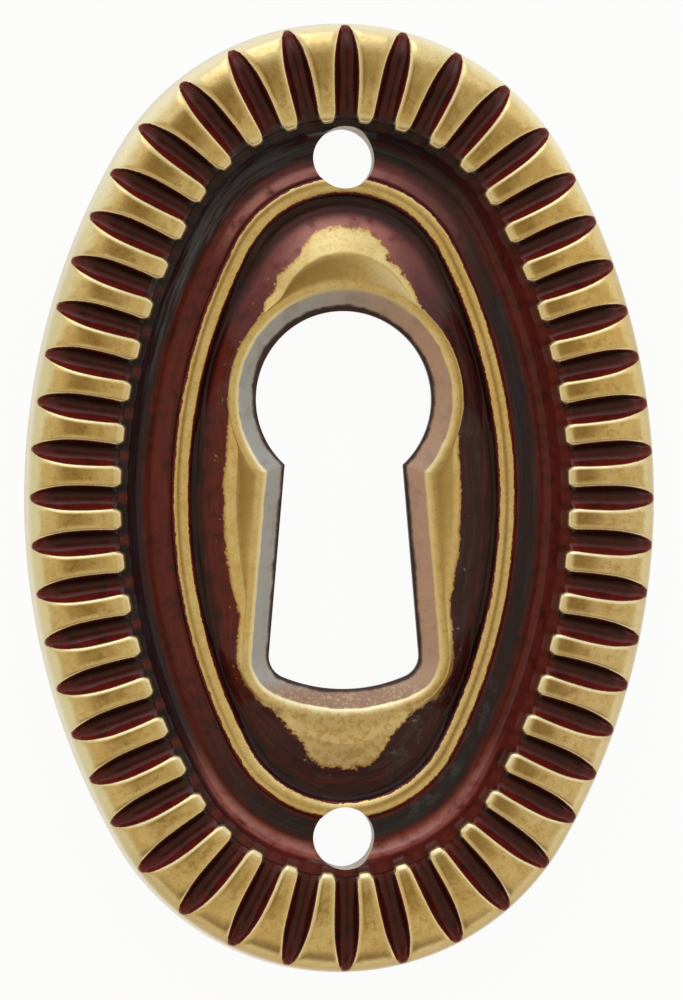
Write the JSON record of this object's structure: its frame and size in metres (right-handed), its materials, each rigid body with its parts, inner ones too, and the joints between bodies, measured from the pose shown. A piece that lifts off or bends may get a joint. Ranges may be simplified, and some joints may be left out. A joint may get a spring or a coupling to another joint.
{
  "type": "keyhole escutcheon",
  "caption": "Oval pressed-brass keyhole escutcheon with a fluted rim, a sunk panel with a beaded ring, a raised lip round the keyhole and a pin hole at each end.",
  "frame": {"origin": "centre of the plate's outline, in the plane of its back", "axes": "+Z out of the face, +Y along the plate's height towards the round end of the keyhole, +X across its width"},
  "size_m": [0.0254, 0.0382, 0.0022],
  "materials": {
    "patinated_brass": "rubbed bright on the raised parts, dark red-brown lacquer left in the hollows"
  },
  "bodies": {
    "root": {"escutcheon_plate": "patinated_brass"}
  },
  "joints": []
}
